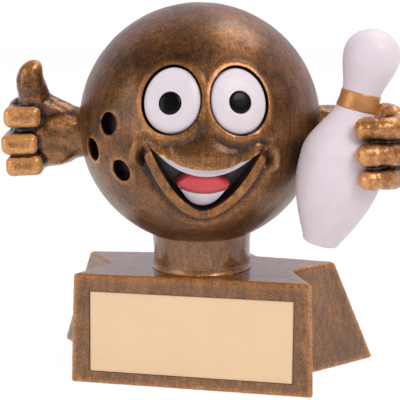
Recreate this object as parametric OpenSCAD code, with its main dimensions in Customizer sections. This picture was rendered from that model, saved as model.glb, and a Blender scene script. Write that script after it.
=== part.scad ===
// Comic bowling trophy: a smiling ball on a star-shaped plinth, thumb up, holding a pin.
// Millimetres, +Z up, front towards -Y. The origin is on the neck's axis, on the
// surface that the trophy stands on.

/* [Base] */
// Height of the base's top above the table
base_h = 28.15; // [24:0.05:34]
// Half width of the front block along its foot
block_foot = 30.9; // [28:0.1:37]
// Half width of the front block along its top
block_top = 30.2; // [28:0.1:36]
// Distance of the front face's foot in front of the neck's axis
block_front = 16.6; // [15:0.1:22]
// Lean of the front face from upright, in degrees
face_lean = 3.5; // [0:0.1:6]
// Radius of the star's points at the top
star_top = 34.8; // [30:0.1:42]
// Radius of the star's points at the foot
star_foot = 47; // [38:0.1:56]
// Radius of the rounded edges of the base
edge_r = 1.2; // [0.4:0.1:2]
// Thickness of the felt under the base
felt_t = 0.8; // [0.5:0.1:1.5]
// How far the felt stays in from the foot's edge
felt_inset = 1.5; // [1:0.1:3]
// How far the felt stands out below the casting
felt_proud = 0.2; // [0.1:0.05:0.4]

/* [Plate] */
// Width of the engraving plate
plate_w = 51.3; // [38:0.1:54]
// Height of the engraving plate
plate_h = 20.4; // [14:0.1:22]
// Height of the plate's lower edge above the table, along the face
plate_low = 3.4; // [2.5:0.1:5]
// Thickness of the plate
plate_t = 0.5; // [0.3:0.05:0.8]
// Thickness of the adhesive sheet behind the plate
adhesive_t = 0.25; // [0.15:0.05:0.4]
// Depth of the recess that the plate lies in
recess = 0.95; // [0.8:0.05:1.5]

/* [Neck] */
// Radius of the neck at its foot
neck_r = 12.44; // [11:0.02:15]
// Radius of the neck at its top
neck_top_r = 12.98; // [11:0.02:16]
// Height from the base's top to the neck's upper end
neck_h = 11.85; // [10:0.05:16]
// Depth that the neck is let into the base
neck_sink = 2; // [1:0.1:4]
// Radius of the steel dowel
dowel_r = 3; // [2:0.1:4]
// Length of the steel dowel
dowel_len = 45; // [36:0.5:54]

/* [Ball] */
// Radius of the ball
ball_r = 30.08; // [25:0.01:37]
// How far the ball's centre lies in front of the neck's axis
ball_fwd = 1.8; // [0:0.1:3]
// Depth of the ball's seat for the neck
ball_seat = 2.2; // [1.8:0.1:4]
// Turn of the face to the right, in degrees
face_yaw = 14; // [0:0.5:20]
// Radius of the finger holes
hole_r = 2.7; // [2:0.1:3.2]
// Depth of the finger holes
hole_depth = 2.2; // [1:0.1:4]

/* [Eyes] */
// Half width of an eye
eye_hw = 7; // [5.5:0.1:8.5]
// Half height of an eye
eye_hh = 8.1; // [6.5:0.1:9.8]
// Width of the bridge between the eyes
eye_bridge = 1.7; // [1.2:0.1:4]
// Height of the eyes' centres above the ball's centre
eye_rise = 8.6; // [7:0.1:12]
// Radius of a pupil
pupil_r = 2.64; // [2:0.02:3.4]
// How far a pupil sits below its eye's centre
pupil_drop = 1; // [0:0.1:2]

/* [Mouth] */
// Half width of the open mouth
mouth_hw = 12; // [10:0.1:14.5]
// Height of the upper lip's middle above the mouth's centre
mouth_top = 2.1; // [1:0.1:3]
// Rise of the upper lip towards the corners
mouth_curl = 3.2; // [2:0.1:4]
// Drop of the lower lip below the mouth's centre
mouth_low = 9.1; // [7.5:0.1:11]
// How far the mouth's centre lies below the ball's centre
mouth_drop = 9.3; // [8:0.1:11]
// Width of the lip
lip_w = 2.4; // [1.5:0.1:3]
// Height of the lip above the ball
lip_h = 1; // [0.5:0.1:1.5]
// Thickness of the dark lining at the back of the mouth
lining_t = 1; // [0.6:0.1:1.5]
// Half width of the tongue
tongue_hw = 5.8; // [4:0.1:6.5]

/* [Hands] */
// Radius of the wrists
wrist_r = 6.3; // [5:0.1:7.5]
// Length of the wrists outside the ball
wrist_len = 7; // [5:0.1:9]
// How far the arms lie below the ball's centre
arm_drop = 1.72; // [0:0.02:3]
// Turn of the arms about the upright axis, in degrees
arm_turn = 14; // [0:0.5:20]
// Radius of a finger
finger_r = 2.5; // [2:0.05:3]
// Distance from one finger to the next
finger_pitch = 5.7; // [5.2:0.1:6.8]
// Length of the raised thumb
thumb_len = 9.5; // [7:0.1:12]
// Radius of the raised thumb
thumb_r = 3.3; // [2.6:0.1:4]
// Radius of the steel wrist pegs
peg_r = 1.5; // [1:0.1:2]
// Length of the steel wrist pegs
peg_len = 12; // [8:0.5:14]

/* [Pin] */
// Height of the pin
pin_h = 50.9; // [45:0.1:60]
// Radius of the pin's foot
pin_foot_r = 3.9; // [3:0.1:5]
// Radius of the pin's belly
pin_belly_r = 9.9; // [8:0.1:12]
// Radius of the pin's neck
pin_neck_r = 4.3; // [3.9:0.05:5.6]
// Radius of the pin's head
pin_head_r = 6.4; // [5.4:0.1:7.6]
// Lean of the pin to the right, in degrees
pin_lean = 14; // [0:0.1:16]
// How far the pin stands in front of the ball's centre
pin_fwd = 15.4; // [13:0.1:19]
// Height of the gold band round the pin's neck
band_h = 4; // [2:0.1:5]
// Length of the peg that holds the pin
pin_peg_len = 8; // [6:0.5:10]
// Radius of the peg that holds the pin
pin_peg_r = 1.25; // [0.8:0.05:1.6]

/* [Hidden] */
$fn = 96;

fit = 0.05;            // radial clearance round dowels and pegs
glue = 0.1;            // radial clearance round seated pieces
touch = 0.3;           // gap between the ball and the pin
bite = 1;              // overshoot of a cut beyond the face that it opens
ball_fn = 128;
hull_fn = 28;
step = 1 / 24;         // parameter step along the drawn outlines

bronze = [0.42, 0.26, 0.14];
bright_bronze = [0.66, 0.44, 0.25];
enamel = [0.94, 0.92, 0.94];
gold = [0.86, 0.68, 0.40];
steel = [0.62, 0.63, 0.65];
black = [0.03, 0.03, 0.03];

// Heights and centres that follow from the sizes above
neck_end = base_h + neck_h;
ball_z = neck_end - ball_seat + sqrt(ball_r * ball_r - neck_top_r * neck_top_r);
ball_c = [0, -ball_fwd, ball_z];
dowel_z = neck_end - 2 * dowel_len / 3;

// Places on the face, as angles on the ball
eye_el = asin(eye_rise / ball_r);
eye_yaw = asin((eye_hw + eye_bridge / 2) / (ball_r * cos(eye_el)));
mouth_el = -asin(mouth_drop / ball_r);
finger_holes = [[-33, 4.6], [-46.4, -8.1], [-27.3, -16.1]];

// Depths of the sockets, measured from the ball's centre
eye_floor = ball_r - 3.6;
pupil_floor = ball_r - 1.4;
mouth_floor = ball_r - 5.8;
tooth_floor = mouth_floor + lining_t;

// Plan of the star: front corner, front notch, side point, rear notch, back point
side_angle_top = 17.2;
side_angle_foot = 21.3;
lean_back = base_h * tan(face_lean);
plan_top = [[block_top, -block_front + lean_back],
            [0.68 * star_top, -1.9],
            [star_top * cos(side_angle_top), star_top * sin(side_angle_top)],
            [0.36 * star_top, 0.37 * star_top],
            [0, 0.95 * star_top]];
plan_foot = [[block_foot, -block_front],
             [0.575 * star_foot, -0.5],
             [star_foot * cos(side_angle_foot), star_foot * sin(side_angle_foot)],
             [0.33 * star_foot, 0.37 * star_foot],
             [0, 0.95 * star_foot]];

// Arms and hands
arm_z = ball_z - arm_drop;
arm_seat = sqrt(ball_r * ball_r - pow(wrist_r + arm_drop, 2)) - 0.8;
fist_x = wrist_len + 0.8;

// The pin's stations along its height
belly_low = 0.36 * pin_h;
belly_high = 0.40 * pin_h;
neck_at = 0.69 * pin_h;
head_at = 0.885 * pin_h;
band_low = neck_at - 0.65 * band_h;
band_out = pin_neck_r + 0.3;
band_in = pin_neck_r - 0.35;
pin_reach = ball_r + pin_belly_r + touch;
pin_rise = -0.27 * ball_r;
pin_x = sqrt(pin_reach * pin_reach - pin_fwd * pin_fwd - pin_rise * pin_rise);
pin_belly = [pin_x, -ball_fwd - pin_fwd, ball_z + pin_rise];

// Half profile of the pin: its radius at height t above its foot
function pin_r(t) =
    t < belly_low ? pin_foot_r + (pin_belly_r - pin_foot_r) * sin(90 * t / belly_low)
    : t < belly_high ? pin_belly_r
    : t < neck_at ? pin_neck_r + (pin_belly_r - pin_neck_r)
                    * (1 + cos(180 * (t - belly_high) / (neck_at - belly_high))) / 2
    : t < head_at ? pin_neck_r + (pin_head_r - pin_neck_r)
                    * (1 - cos(180 * (t - neck_at) / (head_at - neck_at))) / 2
    : pin_head_r * sqrt(max(0, 1 - pow((t - head_at) / (pin_h - head_at), 2)));

// The pin's axis and radius at height z above the table
function pin_t(z) = belly_low + (z - pin_belly[2]) / cos(pin_lean);
function pin_axis(z) = [pin_belly[0] + (z - pin_belly[2]) * tan(pin_lean), pin_belly[1], z];

// A point beside the pin, out from its axis by its radius and more, at an angle in plan
function beside_pin(z, more, angle) =
    pin_axis(z) + (pin_r(pin_t(z)) + more) * [cos(angle), sin(angle), 0];

// A smile-shaped outline between a curled upper edge and a deep lower edge
function smile(hw, top, curl, low, power) = concat(
    [for (i = [-1 : 2 * step : 1]) [hw * i, top + curl * i * i]],
    [for (i = [1 - 2 * step : -2 * step : -1 + step])
        [hw * i, -low + (top + curl + low) * pow(abs(i), power)]]);

// An egg-shaped outline, a little narrower at its top
function egg(hw, hh) = [for (i = [0 : step : 1 - step])
    [hw * cos(360 * i) * (1 - 0.04 * sin(360 * i)), hh * sin(360 * i)]];

// A sphere about the ball's centre, with its poles under the wrists and its seam underneath
module ball_form(r) {
    translate(ball_c) rotate([0, 90, arm_turn]) sphere(r, $fn = ball_fn);
}

// Places its children on the ball, +Z outwards and +Y up
module on_ball(az, el) {
    translate(ball_c) rotate([0, 0, az]) rotate([90 - el, 0, 0]) children();
}

// Places its children on the front face, +Z outwards and +Y up along the face
module on_front() {
    translate([0, -block_front, 0]) rotate([90 - face_lean, 0, 0]) children();
}

// Places its children at the seat of an arm, +X outwards along the arm
module on_arm(turn) {
    translate([0, -ball_fwd, arm_z]) rotate([0, 0, turn]) translate([arm_seat, 0, 0]) children();
}

// Places its children on the pin's foot, +Z along the pin's axis
module on_pin() {
    translate(pin_belly) rotate([0, pin_lean, 0]) translate([0, 0, -belly_low]) children();
}

// A rod lying along +X from x = from to x = to
module rod_x(r, from, to) {
    translate([from, 0, 0]) rotate([0, 90, 0]) cylinder(r = r, h = to - from);
}

// A convex block with rounded edges between a foot outline and a top outline
module rounded_block(foot, top) {
    hull() {
        for (p = foot) translate([p[0], p[1], felt_proud + edge_r]) sphere(edge_r, $fn = hull_fn);
        for (p = top) translate([p[0], p[1], base_h - edge_r]) sphere(edge_r, $fn = hull_fn);
    }
}

// An outline's corners drawn in towards its middle by the edge radius
function mirrored(points) = concat(points, [for (p = points) if (p[0] != 0) [-p[0], p[1]]]);
function pulled_in(p, by) = norm(p) < by ? p : p * (1 - by / norm(p));
function corner(p) = pulled_in(p, edge_r);

module star_solid() {
    foot = [for (p = plan_foot) corner(p)];
    top = [for (p = plan_top) corner(p)];
    front_foot = [[block_foot - edge_r, -block_front + edge_r], foot[1]];
    front_top = [[block_top - edge_r, -block_front + lean_back + edge_r], top[1]];
    rounded_block(mirrored(front_foot), mirrored(front_top));
    rounded_block(mirrored([foot[1], foot[2], foot[3]]), mirrored([top[1], top[2], top[3]]));
    rounded_block(mirrored([foot[3], foot[4]]), mirrored([top[3], top[4]]));
}

// The felt's plan: the foot's plan drawn in, and larger again by a clearance
module felt_outline(more) {
    outline = [for (p = plan_foot) pulled_in(p, edge_r + felt_inset - more)];
    left = [for (i = [3 : -1 : 0]) [-outline[i][0], outline[i][1]]];
    polygon(concat(outline, left));
}

module star_base() {
    color(bronze)
    difference() {
        star_solid();
        translate([0, 0, felt_t - bite]) linear_extrude(bite) felt_outline(0.2);
        translate([0, 0, base_h - neck_sink]) cylinder(r = neck_r + glue, h = neck_sink + bite);
        translate([0, 0, dowel_z]) cylinder(r = dowel_r + fit, h = base_h);
        on_front()
            translate([-plate_w / 2 - glue, plate_low - glue, -recess])
            cube([plate_w + 2 * glue, plate_h + 2 * glue, recess + bite]);
    }
}

module felt_pad() {
    color([0.07, 0.10, 0.08])
    linear_extrude(felt_t) felt_outline(0);
}

module plate_adhesive() {
    color([0.85, 0.84, 0.80])
    on_front()
    translate([-plate_w / 2 + glue, plate_low + glue, -recess])
    cube([plate_w - 2 * glue, plate_h - 2 * glue, adhesive_t]);
}

module engraving_plate() {
    color(gold)
    on_front()
    translate([-plate_w / 2, plate_low, -recess + adhesive_t])
    cube([plate_w, plate_h, plate_t]);
}

module neck() {
    waist = 0.25;
    foot_z = base_h - neck_sink;
    rise = [for (i = [0 : 0.125 : 1])
        [neck_r + (neck_top_r - neck_r) * i - waist * sin(180 * i), base_h + neck_h * i]];
    color(bronze)
    rotate_extrude()
    polygon(concat([[dowel_r + fit, foot_z], [neck_r, foot_z]], rise,
                   [[dowel_r + fit, neck_end]]));
}

module centre_dowel() {
    color(steel)
    translate([0, 0, dowel_z]) cylinder(r = dowel_r, h = dowel_len);
}

module eye_outline(more) {
    polygon(egg(eye_hw + more, eye_hh + more));
}

module mouth_outline(less) {
    polygon(smile(mouth_hw - less, mouth_top - less, mouth_curl, mouth_low - less, 1.7));
}

module ball_head() {
    color(bronze)
    difference() {
        union() {
            ball_form(ball_r);
            intersection() {
                ball_form(ball_r + lip_h);
                on_ball(face_yaw, mouth_el)
                    linear_extrude(ball_r + 2 * lip_h)
                    polygon(smile(mouth_hw + 0.8 * lip_w, mouth_top - 0.6, mouth_curl + 0.6,
                                  mouth_low + 1.4 * lip_w, 1.9));
            }
        }
        translate([0, 0, neck_end - base_h]) cylinder(r = neck_top_r + glue, h = base_h);
        translate([0, 0, neck_end - bite])
            cylinder(r = dowel_r + fit, h = dowel_z + dowel_len + 2 * glue - neck_end + bite);
        on_ball(face_yaw, mouth_el)
            translate([0, 0, mouth_floor])
            linear_extrude(ball_r)
            mouth_outline(0);
        for (side = [-1, 1])
            on_ball(face_yaw + side * eye_yaw, eye_el)
                translate([0, 0, eye_floor])
                linear_extrude(ball_r)
                eye_outline(glue);
        for (place = finger_holes)
            on_ball(place[0], place[1])
                translate([0, 0, ball_r - hole_depth])
                cylinder(r = hole_r, h = 2 * hole_depth);
        for (turn = [arm_turn, 180 + arm_turn]) {
            on_arm(turn) rod_x(wrist_r + glue, 0, ball_r);
            on_arm(turn) rod_x(peg_r + fit, -peg_len / 2 - 2 * glue, bite);
        }
    }
}

module mouth_lining() {
    color([0.10, 0.05, 0.04])
    on_ball(face_yaw, mouth_el)
    translate([0, 0, mouth_floor])
    linear_extrude(lining_t)
    mouth_outline(glue);
}

// A piece standing on the lining, with its front rounded to the ball's curve
module in_mouth(below) {
    intersection() {
        ball_form(ball_r - below);
        on_ball(face_yaw, mouth_el)
            translate([0, 0, tooth_floor])
            linear_extrude(ball_r)
            children();
    }
}

module tongue_outline(more) {
    translate([-0.6, -2.7])
    polygon([for (i = [0 : step : 1 - step])
        [(tongue_hw + more) * cos(360 * i), (2.3 + more) * sin(360 * i)]]);
}

module upper_teeth() {
    color(enamel)
    in_mouth(0.9)
    polygon(smile(mouth_hw - 1.6, mouth_top - glue, mouth_curl - 0.9, 0.3 - glue, 2));
}

module tongue() {
    color([0.86, 0.33, 0.32])
    in_mouth(1.3)
    difference() {
        tongue_outline(0);
        translate([-mouth_hw, -0.3 - glue]) square([2 * mouth_hw, mouth_top]);
    }
}

module lower_teeth() {
    color(enamel)
    in_mouth(1.5)
    difference() {
        intersection() {
            mouth_outline(0.5);
            translate([-0.6 - tongue_hw - 0.4, -mouth_low])
                square([2 * tongue_hw + 0.8, mouth_low - 2.7]);
        }
        tongue_outline(glue);
    }
}

module eye_white(side) {
    color(enamel)
    difference() {
        intersection() {
            ball_form(ball_r + 0.7);
            on_ball(face_yaw + side * eye_yaw, eye_el)
                translate([0, 0, eye_floor])
                linear_extrude(ball_r)
                eye_outline(0);
        }
        on_ball(face_yaw + side * eye_yaw, eye_el)
            translate([0, -pupil_drop, pupil_floor])
            cylinder(r = pupil_r + fit, h = ball_r);
    }
}

module pupil(side) {
    color(black)
    intersection() {
        ball_form(ball_r + 1);
        on_ball(face_yaw + side * eye_yaw, eye_el)
            translate([0, -pupil_drop, pupil_floor])
            cylinder(r = pupil_r, h = ball_r);
    }
}

// The ball with the wrist's glue gap round it, which everything but a wrist keeps clear of
module ball_clearance() {
    ball_form(ball_r + touch);
}

// A soft block through a list of centres
module soft(centres, r) {
    hull() for (c = centres) translate(c) sphere(r, $fn = hull_fn);
}

// The closed fist and its raised thumb, without the wrist
module thumb_up_fist() {
    palm_r = 3.6;
    low = palm_r + 1 - finger_pitch - 2 * finger_r;
    knuckle_x = fist_x + 10;
    on_arm(180 + arm_turn) {
        soft([[fist_x, 2.2, 1.6], [fist_x, 2.2, -3.2], [fist_x, -2.2, 1.6], [fist_x, -2.2, -3.2],
              [fist_x + 8, 2, 3], [fist_x + 8, 2, low],
              [fist_x + 8, -3, 3], [fist_x + 8, -3, low]], palm_r);
        for (i = [0 : 2]) {
            z = 4.4 - finger_pitch * i;
            soft([[fist_x + 5.6, 6.2, z - 0.6], [knuckle_x, 6, z], [knuckle_x - 0.2, -3.6, z + 0.8],
                  [fist_x + 5, -4, z]], finger_r);
        }
        soft([[fist_x + 3, 0, 3], [fist_x + 6.4, 1, 7.5]], thumb_r);
        soft([[fist_x + 6.4, 1, 7.5], [fist_x + 5.6, 1.6, 5 + thumb_len]], thumb_r);
    }
}

module thumb_up_hand() {
    color(bright_bronze)
    difference() {
        union() {
            on_arm(180 + arm_turn) rod_x(wrist_r, 0, fist_x + 1);
            difference() {
                thumb_up_fist();
                ball_clearance();
            }
        }
        on_arm(180 + arm_turn) rod_x(peg_r + fit, -bite, peg_len / 2 + 2 * glue);
    }
}

module wrist_peg(turn) {
    color(steel)
    on_arm(turn) rod_x(peg_r, -peg_len / 2, peg_len / 2);
}

// The pin's outline of revolution, made larger all round by more
module pin_solid(more) {
    rotate_extrude()
    polygon(concat([[0, -more]],
                   [for (i = [0 : step : 1 - step / 2]) [pin_r(pin_h * i) + more, pin_h * i]],
                   [[pin_head_r / 3 + more, pin_h - 0.25], [0, pin_h + more]]));
}

// Where the pin's peg lies: from the palm into the pin's back, along the hand's own Y
module on_pin_peg() {
    grip = pin_axis(pin_belly[2] - 1);
    translate(grip) rotate([0, 0, arm_turn]) translate([2, pin_belly_r, 0]) rotate([90, 0, 0])
        children();
}

module pin_hand() {
    rows = [for (i = [0 : 2]) arm_z + 2.2 - finger_pitch * i];
    tip_angles = [-73, -66, -55];
    out = finger_r + glue;
    color(bright_bronze)
    difference() {
        union() {
            on_arm(arm_turn) rod_x(wrist_r, 0, fist_x + 2);
            difference() {
                hull() {
                    on_arm(arm_turn)
                        for (z = [-2.6, 2]) for (y = [-2.4, 2.4])
                            translate([fist_x, y, z]) sphere(3.6, $fn = hull_fn);
                    for (z = rows) for (angle = [70, 110])
                        translate(beside_pin(z - 1, out + 1, angle))
                        sphere(finger_r + 0.8, $fn = hull_fn);
                }
                ball_clearance();
            }
            for (i = [0 : 2]) {
                soft([beside_pin(rows[i] - 1, out, 70), beside_pin(rows[i], out + 0.4, 24),
                      beside_pin(rows[i] + 0.7, out + 0.2, -16)], finger_r);
                soft([beside_pin(rows[i] + 0.7, out + 0.2, -16),
                      beside_pin(rows[i] + 1.6, out, tip_angles[i])], finger_r);
            }
        }
        on_pin() pin_solid(glue);
        on_arm(arm_turn) rod_x(peg_r + fit, -bite, peg_len / 2 + 2 * glue);
        on_pin_peg() cylinder(r = pin_peg_r + fit, h = pin_peg_len + 2 * glue, center = true);
    }
}

module pin_body() {
    color([0.93, 0.91, 0.93])
    difference() {
        on_pin() pin_solid(0);
        on_pin()
            translate([0, 0, band_low])
            difference() {
                cylinder(r = pin_belly_r, h = band_h);
                cylinder(r = band_in, h = band_h);
            }
        on_pin_peg() cylinder(r = pin_peg_r + fit, h = pin_peg_len + 2 * glue, center = true);
    }
}

module pin_neck_band() {
    color(gold)
    on_pin()
    translate([0, 0, band_low + glue / 2])
    difference() {
        cylinder(r = band_out, h = band_h - glue);
        translate([0, 0, -bite]) cylinder(r = band_in + fit, h = band_h + 2 * bite);
    }
}

module pin_peg() {
    color(steel)
    on_pin_peg() cylinder(r = pin_peg_r, h = pin_peg_len, center = true);
}

star_base();
felt_pad();
plate_adhesive();
engraving_plate();
neck();
centre_dowel();
ball_head();
mouth_lining();
upper_teeth();
tongue();
lower_teeth();
eye_white(-1);  // left_eye_white
eye_white(1);  // right_eye_white
pupil(-1);  // left_pupil
pupil(1);  // right_pupil
thumb_up_hand();
wrist_peg(180 + arm_turn);  // thumb_up_wrist_peg
pin_hand();
wrist_peg(arm_turn);  // pin_hand_wrist_peg
pin_body();
pin_neck_band();
pin_peg();
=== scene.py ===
# %% [markdown]
# # A small comic bowling trophy
#
# The real award is cast in resin, painted dark brown, rubbed with bronze and gold paint so
# that the raised places shine, and lacquered. Eyes, teeth, tongue and pin are enamelled.
# This lesson builds every visible piece round a measured frame. The frame gives the sizes
# and the places; the pieces here give the looks. All modelling is done in millimetres, and
# each finished piece is scaled to metres at the end.

# %% Load the frame and note its size
import math

import bpy
import numpy as np
from mathutils import Matrix, Vector, noise


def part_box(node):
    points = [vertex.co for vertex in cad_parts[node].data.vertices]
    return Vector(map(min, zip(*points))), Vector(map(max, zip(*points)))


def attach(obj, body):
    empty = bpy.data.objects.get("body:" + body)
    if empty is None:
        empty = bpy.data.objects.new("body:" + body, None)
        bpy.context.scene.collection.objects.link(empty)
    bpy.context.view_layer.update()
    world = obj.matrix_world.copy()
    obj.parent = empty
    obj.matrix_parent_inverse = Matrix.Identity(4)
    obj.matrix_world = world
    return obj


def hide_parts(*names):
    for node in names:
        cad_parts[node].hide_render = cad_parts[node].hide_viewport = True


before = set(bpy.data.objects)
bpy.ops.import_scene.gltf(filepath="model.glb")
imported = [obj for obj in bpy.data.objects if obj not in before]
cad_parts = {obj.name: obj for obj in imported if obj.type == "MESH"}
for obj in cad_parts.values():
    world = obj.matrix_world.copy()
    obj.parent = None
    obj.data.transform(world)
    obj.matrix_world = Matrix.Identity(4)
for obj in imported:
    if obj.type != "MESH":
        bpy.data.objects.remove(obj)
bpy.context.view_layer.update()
print("nodes in the frame:", len(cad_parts))

# %% [markdown]
# ## The camera
#
# A long lens from a little to the right and slightly above keeps the proportions calm, as
# in catalogue photographs. The camera is placed by the angles round a target point, which
# is easier to reason about than a bare position.

# %% Camera
SHOT_TURN = math.radians(11.72)
SHOT_RISE = math.radians(10.20)
SHOT_ROLL = math.radians(-0.26)
SHOT_AWAY = 0.2686
SHOT_TARGET = Vector((-0.00191, 0.00720, 0.04388))

camera_data = bpy.data.cameras.new("camera")
camera_data.lens = 91.64
camera_data.sensor_width = 36
camera_data.clip_start = 0.01
camera = bpy.data.objects.new("camera", camera_data)
bpy.context.scene.collection.objects.link(camera)
turn = Matrix.Rotation(SHOT_TURN, 4, "Z") @ Matrix.Rotation(math.pi / 2 - SHOT_RISE, 4, "X")
turn = turn @ Matrix.Rotation(SHOT_ROLL, 4, "Z")
camera.matrix_world = Matrix.Translation(SHOT_TARGET + SHOT_AWAY * (turn @ Vector((0, 0, 1)))) @ turn
bpy.context.scene.camera = camera
print("camera stands at", [round(c, 4) for c in camera.matrix_world.translation])

# %% [markdown]
# ## Small helpers for modelling
#
# Operators act on whatever is selected, so every step starts by selecting only its own
# piece. Each helper does one thing: apply a modifier, join, carve, or set a finished piece
# down in metres.

# %% Helpers: selecting, joining, modifying
MM = 0.001


def only(*objects):
    """Select just these objects; the last becomes the active one."""
    bpy.ops.object.select_all(action="DESELECT")
    for obj in objects:
        obj.select_set(True)
    bpy.context.view_layer.objects.active = objects[-1]


def modify(obj, kind, **settings):
    """Add a modifier and apply it at once."""
    only(obj)
    modifier = obj.modifiers.new(kind.lower(), kind)
    for key, value in settings.items():
        setattr(modifier, key, value)
    bpy.ops.object.modifier_apply(modifier=modifier.name)
    return obj


def new_piece(name):
    """Name the primitive that was just added."""
    obj = bpy.context.active_object
    obj.name = name
    obj.data.name = name
    return obj


def join(name, pieces):
    """Join pieces into one object with its place in its mesh."""
    only(*pieces)
    if len(pieces) > 1:
        bpy.ops.object.join()
    bpy.ops.object.transform_apply(location=True, rotation=True, scale=True)
    return new_piece(name)


def carve(obj, *cutters):
    """Cut closed shapes out of a closed piece."""
    for cutter in cutters:
        modify(obj, "BOOLEAN", operation="DIFFERENCE", object=cutter, solver="MANIFOLD")
        bpy.data.objects.remove(cutter)
    return obj


def mm_box(node):
    """A frame node's lowest and highest corners, in millimetres."""
    low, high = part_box(node)
    return Vector(low) / MM, Vector(high) / MM


def points(obj):
    """The piece's vertices as an array of rows."""
    flat = np.empty(len(obj.data.vertices) * 3)
    obj.data.vertices.foreach_get("co", flat)
    return flat.reshape(-1, 3)


def set_points(obj, rows):
    """Move the piece's vertices."""
    obj.data.vertices.foreach_set("co", np.asarray(rows).ravel())
    obj.data.update()


def mark(obj, name, values):
    """Store one number per vertex for the paint to read."""
    layer = obj.data.attributes.get(name) or obj.data.attributes.new(name, "FLOAT", "POINT")
    layer.data.foreach_set("value", np.asarray(values, dtype=np.float32))


def outward(obj):
    """Merge doubled points and turn all faces outwards."""
    only(obj)
    bpy.ops.object.mode_set(mode="EDIT")
    bpy.ops.mesh.select_all(action="SELECT")
    bpy.ops.mesh.remove_doubles(threshold=0.001)
    bpy.ops.mesh.normals_make_consistent(inside=False)
    bpy.ops.object.mode_set(mode="OBJECT")
    return obj


def finish_piece(obj, material, slot, *nodes, angle=40):
    """Scale a piece to metres, paint it, and let it stand for its frame nodes."""
    obj.data.transform(Matrix.Scale(MM, 4))
    only(obj)
    bpy.ops.object.shade_smooth_by_angle(angle=math.radians(angle))
    obj.data.materials.clear()
    obj.data.materials.append(material)
    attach(obj, "root")
    if nodes:
        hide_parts(*nodes)
    size = [round(side / MM, 1) for side in obj.dimensions]
    print(f"{obj.name}: {len(obj.data.polygons)} faces, {size} mm")
    return obj


# %% Helpers: shapes turned on a lathe and soft lumps
def turned(name, profile, segments=96):
    """Lathe work: a ring is extruded and scaled from one (radius, height) to the next."""
    bpy.ops.object.select_all(action="DESELECT")
    radius, height = profile[0]
    bpy.ops.mesh.primitive_circle_add(vertices=segments, radius=radius, location=(0, 0, 0),
                                      fill_type="NGON")
    obj = new_piece(name)
    bpy.ops.object.mode_set(mode="EDIT")
    bpy.ops.transform.translate(value=(0, 0, height))
    for next_radius, next_height in profile[1:]:
        bpy.ops.mesh.extrude_region_move(
            TRANSFORM_OT_translate={"value": (0, 0, next_height - height)})
        scale = next_radius / radius
        bpy.ops.transform.resize(value=(scale, scale, 1), center_override=(0, 0, next_height))
        radius, height = next_radius, next_height
    bpy.ops.object.mode_set(mode="OBJECT")
    return outward(obj)


def block(size, place, tilt=(0, 0, 0), rounding=1.0):
    """A cube with soft edges, scaled to size, then turned and moved to its place."""
    bpy.ops.object.select_all(action="DESELECT")
    bpy.ops.mesh.primitive_cube_add(size=1)
    obj = bpy.context.active_object
    obj.scale = size
    bpy.ops.object.transform_apply(location=False, rotation=False, scale=True)
    modify(obj, "BEVEL", width=rounding, segments=5, limit_method="NONE")
    obj.rotation_euler = [math.radians(a) for a in tilt]
    obj.location = place
    bpy.ops.object.transform_apply(location=True, rotation=True, scale=True)
    return obj


def bead(radius, place, stretch=(1, 1, 1), tilt=(0, 0, 0)):
    """A small ball, perhaps stretched, for building up soft shapes."""
    bpy.ops.object.select_all(action="DESELECT")
    bpy.ops.mesh.primitive_uv_sphere_add(segments=24, ring_count=16, radius=radius)
    obj = bpy.context.active_object
    obj.scale = stretch
    obj.rotation_euler = [math.radians(a) for a in tilt]
    obj.location = place
    bpy.ops.object.transform_apply(location=True, rotation=True, scale=True)
    return obj


def string_of_beads(stations, count):
    """Beads along a smooth line through (x, y, z, radius) stations, thick as each station."""
    rows = np.array(stations, dtype=float)
    where = np.linspace(0, len(rows) - 1, count)
    beads = []
    for w in where:
        i = min(int(w), len(rows) - 2)
        t = w - i
        before, after = rows[max(i - 1, 0)], rows[min(i + 2, len(rows) - 1)]
        a, b = rows[i], rows[i + 1]
        spot = 0.5 * (2 * a + (b - before) * t + (2 * before - 5 * a + 4 * b - after) * t ** 2
                      + (3 * a - before - 3 * b + after) * t ** 3)
        beads.append(bead(spot[3], spot[:3]))
    return beads


def melt(name, lumps, voxel, smoothing):
    """Join lumps, fuse them into one skin with a voxel remesh, and relax the skin."""
    obj = join(name, lumps)
    modify(obj, "REMESH", mode="VOXEL", voxel_size=voxel)
    modify(obj, "SMOOTH", factor=0.5, iterations=smoothing)
    return obj


# %% [markdown]
# ## Wear marks
#
# On the real trophy the paint was rubbed off the hollows and onto the ridges. The mesh
# itself knows where those are: where the normals of neighbouring points spread apart the
# surface is a ridge, and where they lean together it is a hollow. That bend is averaged
# over a few rings of neighbours and stored as a number per point, which the paint reads.

# %% Helper: ridge and hollow marks
def tint_light_and_shade(obj, more):
    """Lift or lower a piece's wear marks by a number per point; on the hands this paints light and shade into them."""
    marks = np.empty(len(obj.data.vertices), dtype=np.float32)
    obj.data.attributes["wear_and_shade"].data.foreach_get("value", marks)
    mark(obj, "wear_and_shade", np.clip(marks + more, 0, 1))


def spread(values, edges, passes):
    """Average numbers with their neighbours along the edges, several times over."""
    size = len(values)
    here, there = edges.T
    count = np.bincount(edges.ravel(), minlength=size) + 1.0
    for _ in range(passes):
        total = np.bincount(here, values[there], size) + np.bincount(there, values[here], size)
        values = (values + total) / count
    return values


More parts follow.
